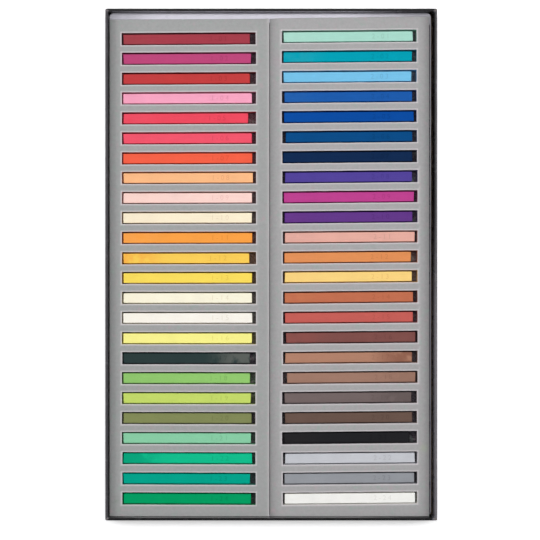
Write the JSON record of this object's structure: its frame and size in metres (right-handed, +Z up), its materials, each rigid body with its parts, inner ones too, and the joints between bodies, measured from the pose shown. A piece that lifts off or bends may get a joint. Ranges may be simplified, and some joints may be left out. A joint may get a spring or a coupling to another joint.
{
  "type": "pastel stick tray",
  "caption": "Shallow paper-covered board tray with a thin plastic liner and two slotted foam inserts whose square pastel sticks lift out.",
  "frame": {"origin": "middle of the tray's underside", "axes": "+X to the right across the tray, +Y to its back edge along the long side, +Z up"},
  "size_m": [0.236, 0.364, 0.019],
  "materials": {
    "chipboard": "grey-brown chipboard, raw",
    "stay_tape": "gummed kraft tape",
    "cover_paper": "black embossed leatherette paper, low sheen",
    "base_paper": "plain black paper, matt",
    "floor_paper": "plain black paper, matt",
    "liner_plastic": "thin formed plastic, glossy",
    "left_foam": "soft grey closed-cell foam",
    "left_pad_foam": "soft grey closed-cell foam",
    "right_foam": "soft grey closed-cell foam",
    "right_pad_foam": "soft grey closed-cell foam",
    "pastel_carmine": "pressed chalky pigment, dry and matt",
    "pastel_raspberry": "pressed chalky pigment, dry and matt",
    "pastel_red": "pressed chalky pigment, dry and matt",
    "pastel_light_pink": "pressed chalky pigment, dry and matt",
    "pastel_coral_red": "pressed chalky pigment, dry and matt",
    "pastel_rose_red": "pressed chalky pigment, dry and matt",
    "pastel_vermilion": "pressed chalky pigment, dry and matt",
    "pastel_peach": "pressed chalky pigment, dry and matt",
    "pastel_pale_pink": "pressed chalky pigment, dry and matt",
    "pastel_cream_peach": "pressed chalky pigment, dry and matt",
    "pastel_orange": "pressed chalky pigment, dry and matt",
    "pastel_yellow_orange": "pressed chalky pigment, dry and matt",
    "pastel_yellow": "pressed chalky pigment, dry and matt",
    "pastel_ivory": "pressed chalky pigment, dry and matt",
    "pastel_off_white": "pressed chalky pigment, dry and matt",
    "pastel_lemon": "pressed chalky pigment, dry and matt",
    "pastel_dark_green": "pressed chalky pigment, dry and matt",
    "pastel_leaf_green": "pressed chalky pigment, dry and matt",
    "pastel_yellow_green": "pressed chalky pigment, dry and matt",
    "pastel_olive": "pressed chalky pigment, dry and matt",
    "pastel_mint": "pressed chalky pigment, dry and matt",
    "pastel_emerald": "pressed chalky pigment, dry and matt",
    "pastel_teal_green": "pressed chalky pigment, dry and matt",
    "pastel_green": "pressed chalky pigment, dry and matt",
    "pastel_pale_mint": "pressed chalky pigment, dry and matt",
    "pastel_turquoise": "pressed chalky pigment, dry and matt",
    "pastel_sky_blue": "pressed chalky pigment, dry and matt",
    "pastel_blue": "pressed chalky pigment, dry and matt",
    "pastel_deep_blue": "pressed chalky pigment, dry and matt",
    "pastel_prussian_blue": "pressed chalky pigment, dry and matt",
    "pastel_navy": "pressed chalky pigment, dry and matt",
    "pastel_blue_violet": "pressed chalky pigment, dry and matt",
    "pastel_magenta": "pressed chalky pigment, dry and matt",
    "pastel_purple": "pressed chalky pigment, dry and matt",
    "pastel_salmon": "pressed chalky pigment, dry and matt",
    "pastel_apricot": "pressed chalky pigment, dry and matt",
    "pastel_maize": "pressed chalky pigment, dry and matt",
    "pastel_burnt_orange": "pressed chalky pigment, dry and matt",
    "pastel_brick_red": "pressed chalky pigment, dry and matt",
    "pastel_maroon": "pressed chalky pigment, dry and matt",
    "pastel_tan": "pressed chalky pigment, dry and matt",
    "pastel_light_brown": "pressed chalky pigment, dry and matt",
    "pastel_taupe": "pressed chalky pigment, dry and matt",
    "pastel_brown": "pressed chalky pigment, dry and matt",
    "pastel_black": "pressed chalky pigment, dry and matt",
    "pastel_lavender_grey": "pressed chalky pigment, dry and matt",
    "pastel_cool_grey": "pressed chalky pigment, dry and matt",
    "pastel_white": "pressed chalky pigment, dry and matt"
  },
  "bodies": {
    "tray": {"base_board": "chipboard", "wall_boards": "chipboard", "corner_stays": "stay_tape", "cover_wrap": "cover_paper", "base_paper": "base_paper", "floor_paper": "floor_paper"},
    "liner": {"liner_tray": "liner_plastic"},
    "left_insert": {"left_foam_sheet": "left_foam", "left_foam_pad": "left_pad_foam"},
    "right_insert": {"right_foam_sheet": "right_foam", "right_foam_pad": "right_pad_foam"},
    "pastel_01": {"pastel_01_carmine": "pastel_carmine"},
    "pastel_02": {"pastel_02_raspberry": "pastel_raspberry"},
    "pastel_03": {"pastel_03_red": "pastel_red"},
    "pastel_04": {"pastel_04_light_pink": "pastel_light_pink"},
    "pastel_05": {"pastel_05_coral_red": "pastel_coral_red"},
    "pastel_06": {"pastel_06_rose_red": "pastel_rose_red"},
    "pastel_07": {"pastel_07_vermilion": "pastel_vermilion"},
    "pastel_08": {"pastel_08_peach": "pastel_peach"},
    "pastel_09": {"pastel_09_pale_pink": "pastel_pale_pink"},
    "pastel_10": {"pastel_10_cream_peach": "pastel_cream_peach"},
    "pastel_11": {"pastel_11_orange": "pastel_orange"},
    "pastel_12": {"pastel_12_yellow_orange": "pastel_yellow_orange"},
    "pastel_13": {"pastel_13_yellow": "pastel_yellow"},
    "pastel_14": {"pastel_14_ivory": "pastel_ivory"},
    "pastel_15": {"pastel_15_off_white": "pastel_off_white"},
    "pastel_16": {"pastel_16_lemon": "pastel_lemon"},
    "pastel_17": {"pastel_17_dark_green": "pastel_dark_green"},
    "pastel_18": {"pastel_18_leaf_green": "pastel_leaf_green"},
    "pastel_19": {"pastel_19_yellow_green": "pastel_yellow_green"},
    "pastel_20": {"pastel_20_olive": "pastel_olive"},
    "pastel_21": {"pastel_21_mint": "pastel_mint"},
    "pastel_22": {"pastel_22_emerald": "pastel_emerald"},
    "pastel_23": {"pastel_23_teal_green": "pastel_teal_green"},
    "pastel_24": {"pastel_24_green": "pastel_green"},
    "pastel_25": {"pastel_25_pale_mint": "pastel_pale_mint"},
    "pastel_26": {"pastel_26_turquoise": "pastel_turquoise"},
    "pastel_27": {"pastel_27_sky_blue": "pastel_sky_blue"},
    "pastel_28": {"pastel_28_blue": "pastel_blue"},
    "pastel_29": {"pastel_29_deep_blue": "pastel_deep_blue"},
    "pastel_30": {"pastel_30_prussian_blue": "pastel_prussian_blue"},
    "pastel_31": {"pastel_31_navy": "pastel_navy"},
    "pastel_32": {"pastel_32_blue_violet": "pastel_blue_violet"},
    "pastel_33": {"pastel_33_magenta": "pastel_magenta"},
    "pastel_34": {"pastel_34_purple": "pastel_purple"},
    "pastel_35": {"pastel_35_salmon": "pastel_salmon"},
    "pastel_36": {"pastel_36_apricot": "pastel_apricot"},
    "pastel_37": {"pastel_37_maize": "pastel_maize"},
    "pastel_38": {"pastel_38_burnt_orange": "pastel_burnt_orange"},
    "pastel_39": {"pastel_39_brick_red": "pastel_brick_red"},
    "pastel_40": {"pastel_40_maroon": "pastel_maroon"},
    "pastel_41": {"pastel_41_tan": "pastel_tan"},
    "pastel_42": {"pastel_42_light_brown": "pastel_light_brown"},
    "pastel_43": {"pastel_43_taupe": "pastel_taupe"},
    "pastel_44": {"pastel_44_brown": "pastel_brown"},
    "pastel_45": {"pastel_45_black": "pastel_black"},
    "pastel_46": {"pastel_46_lavender_grey": "pastel_lavender_grey"},
    "pastel_47": {"pastel_47_cool_grey": "pastel_cool_grey"},
    "pastel_48": {"pastel_48_white": "pastel_white"}
  },
  "joints": [
    {"name": "liner_lift", "type": "slide", "parent": "tray", "child": "liner", "axis": [0, 0, 1], "range_m": [0, 0.025]},
    {"name": "left_insert_lift", "type": "slide", "parent": "liner", "child": "left_insert", "axis": [0, 0, 1], "range_m": [0, 0.025]},
    {"name": "right_insert_lift", "type": "slide", "parent": "liner", "child": "right_insert", "axis": [0, 0, 1], "range_m": [0, 0.025]},
    {"name": "pastel_01_lift", "type": "slide", "parent": "left_insert", "child": "pastel_01", "axis": [0, 0, 1], "range_m": [0, 0.02]},
    {"name": "pastel_02_lift", "type": "slide", "parent": "left_insert", "child": "pastel_02", "axis": [0, 0, 1], "range_m": [0, 0.02]},
    {"name": "pastel_03_lift", "type": "slide", "parent": "left_insert", "child": "pastel_03", "axis": [0, 0, 1], "range_m": [0, 0.02]},
    {"name": "pastel_04_lift", "type": "slide", "parent": "left_insert", "child": "pastel_04", "axis": [0, 0, 1], "range_m": [0, 0.02]},
    {"name": "pastel_05_lift", "type": "slide", "parent": "left_insert", "child": "pastel_05", "axis": [0, 0, 1], "range_m": [0, 0.02]},
    {"name": "pastel_06_lift", "type": "slide", "parent": "left_insert", "child": "pastel_06", "axis": [0, 0, 1], "range_m": [0, 0.02]},
    {"name": "pastel_07_lift", "type": "slide", "parent": "left_insert", "child": "pastel_07", "axis": [0, 0, 1], "range_m": [0, 0.02]},
    {"name": "pastel_08_lift", "type": "slide", "parent": "left_insert", "child": "pastel_08", "axis": [0, 0, 1], "range_m": [0, 0.02]},
    {"name": "pastel_09_lift", "type": "slide", "parent": "left_insert", "child": "pastel_09", "axis": [0, 0, 1], "range_m": [0, 0.02]},
    {"name": "pastel_10_lift", "type": "slide", "parent": "left_insert", "child": "pastel_10", "axis": [0, 0, 1], "range_m": [0, 0.02]},
    {"name": "pastel_11_lift", "type": "slide", "parent": "left_insert", "child": "pastel_11", "axis": [0, 0, 1], "range_m": [0, 0.02]},
    {"name": "pastel_12_lift", "type": "slide", "parent": "left_insert", "child": "pastel_12", "axis": [0, 0, 1], "range_m": [0, 0.02]},
    {"name": "pastel_13_lift", "type": "slide", "parent": "left_insert", "child": "pastel_13", "axis": [0, 0, 1], "range_m": [0, 0.02]},
    {"name": "pastel_14_lift", "type": "slide", "parent": "left_insert", "child": "pastel_14", "axis": [0, 0, 1], "range_m": [0, 0.02]},
    {"name": "pastel_15_lift", "type": "slide", "parent": "left_insert", "child": "pastel_15", "axis": [0, 0, 1], "range_m": [0, 0.02]},
    {"name": "pastel_16_lift", "type": "slide", "parent": "left_insert", "child": "pastel_16", "axis": [0, 0, 1], "range_m": [0, 0.02]},
    {"name": "pastel_17_lift", "type": "slide", "parent": "left_insert", "child": "pastel_17", "axis": [0, 0, 1], "range_m": [0, 0.02]},
    {"name": "pastel_18_lift", "type": "slide", "parent": "left_insert", "child": "pastel_18", "axis": [0, 0, 1], "range_m": [0, 0.02]},
    {"name": "pastel_19_lift", "type": "slide", "parent": "left_insert", "child": "pastel_19", "axis": [0, 0, 1], "range_m": [0, 0.02]},
    {"name": "pastel_20_lift", "type": "slide", "parent": "left_insert", "child": "pastel_20", "axis": [0, 0, 1], "range_m": [0, 0.02]},
    {"name": "pastel_21_lift", "type": "slide", "parent": "left_insert", "child": "pastel_21", "axis": [0, 0, 1], "range_m": [0, 0.02]},
    {"name": "pastel_22_lift", "type": "slide", "parent": "left_insert", "child": "pastel_22", "axis": [0, 0, 1], "range_m": [0, 0.02]},
    {"name": "pastel_23_lift", "type": "slide", "parent": "left_insert", "child": "pastel_23", "axis": [0, 0, 1], "range_m": [0, 0.02]},
    {"name": "pastel_24_lift", "type": "slide", "parent": "left_insert", "child": "pastel_24", "axis": [0, 0, 1], "range_m": [0, 0.02]},
    {"name": "pastel_25_lift", "type": "slide", "parent": "right_insert", "child": "pastel_25", "axis": [0, 0, 1], "range_m": [0, 0.02]},
    {"name": "pastel_26_lift", "type": "slide", "parent": "right_insert", "child": "pastel_26", "axis": [0, 0, 1], "range_m": [0, 0.02]},
    {"name": "pastel_27_lift", "type": "slide", "parent": "right_insert", "child": "pastel_27", "axis": [0, 0, 1], "range_m": [0, 0.02]},
    {"name": "pastel_28_lift", "type": "slide", "parent": "right_insert", "child": "pastel_28", "axis": [0, 0, 1], "range_m": [0, 0.02]},
    {"name": "pastel_29_lift", "type": "slide", "parent": "right_insert", "child": "pastel_29", "axis": [0, 0, 1], "range_m": [0, 0.02]},
    {"name": "pastel_30_lift", "type": "slide", "parent": "right_insert", "child": "pastel_30", "axis": [0, 0, 1], "range_m": [0, 0.02]},
    {"name": "pastel_31_lift", "type": "slide", "parent": "right_insert", "child": "pastel_31", "axis": [0, 0, 1], "range_m": [0, 0.02]},
    {"name": "pastel_32_lift", "type": "slide", "parent": "right_insert", "child": "pastel_32", "axis": [0, 0, 1], "range_m": [0, 0.02]},
    {"name": "pastel_33_lift", "type": "slide", "parent": "right_insert", "child": "pastel_33", "axis": [0, 0, 1], "range_m": [0, 0.02]},
    {"name": "pastel_34_lift", "type": "slide", "parent": "right_insert", "child": "pastel_34", "axis": [0, 0, 1], "range_m": [0, 0.02]},
    {"name": "pastel_35_lift", "type": "slide", "parent": "right_insert", "child": "pastel_35", "axis": [0, 0, 1], "range_m": [0, 0.02]},
    {"name": "pastel_36_lift", "type": "slide", "parent": "right_insert", "child": "pastel_36", "axis": [0, 0, 1], "range_m": [0, 0.02]},
    {"name": "pastel_37_lift", "type": "slide", "parent": "right_insert", "child": "pastel_37", "axis": [0, 0, 1], "range_m": [0, 0.02]},
    {"name": "pastel_38_lift", "type": "slide", "parent": "right_insert", "child": "pastel_38", "axis": [0, 0, 1], "range_m": [0, 0.02]},
    {"name": "pastel_39_lift", "type": "slide", "parent": "right_insert", "child": "pastel_39", "axis": [0, 0, 1], "range_m": [0, 0.02]},
    {"name": "pastel_40_lift", "type": "slide", "parent": "right_insert", "child": "pastel_40", "axis": [0, 0, 1], "range_m": [0, 0.02]},
    {"name": "pastel_41_lift", "type": "slide", "parent": "right_insert", "child": "pastel_41", "axis": [0, 0, 1], "range_m": [0, 0.02]},
    {"name": "pastel_42_lift", "type": "slide", "parent": "right_insert", "child": "pastel_42", "axis": [0, 0, 1], "range_m": [0, 0.02]},
    {"name": "pastel_43_lift", "type": "slide", "parent": "right_insert", "child": "pastel_43", "axis": [0, 0, 1], "range_m": [0, 0.02]},
    {"name": "pastel_44_lift", "type": "slide", "parent": "right_insert", "child": "pastel_44", "axis": [0, 0, 1], "range_m": [0, 0.02]},
    {"name": "pastel_45_lift", "type": "slide", "parent": "right_insert", "child": "pastel_45", "axis": [0, 0, 1], "range_m": [0, 0.02]},
    {"name": "pastel_46_lift", "type": "slide", "parent": "right_insert", "child": "pastel_46", "axis": [0, 0, 1], "range_m": [0, 0.02]},
    {"name": "pastel_47_lift", "type": "slide", "parent": "right_insert", "child": "pastel_47", "axis": [0, 0, 1], "range_m": [0, 0.02]},
    {"name": "pastel_48_lift", "type": "slide", "parent": "right_insert", "child": "pastel_48", "axis": [0, 0, 1], "range_m": [0, 0.02]}
  ]
}
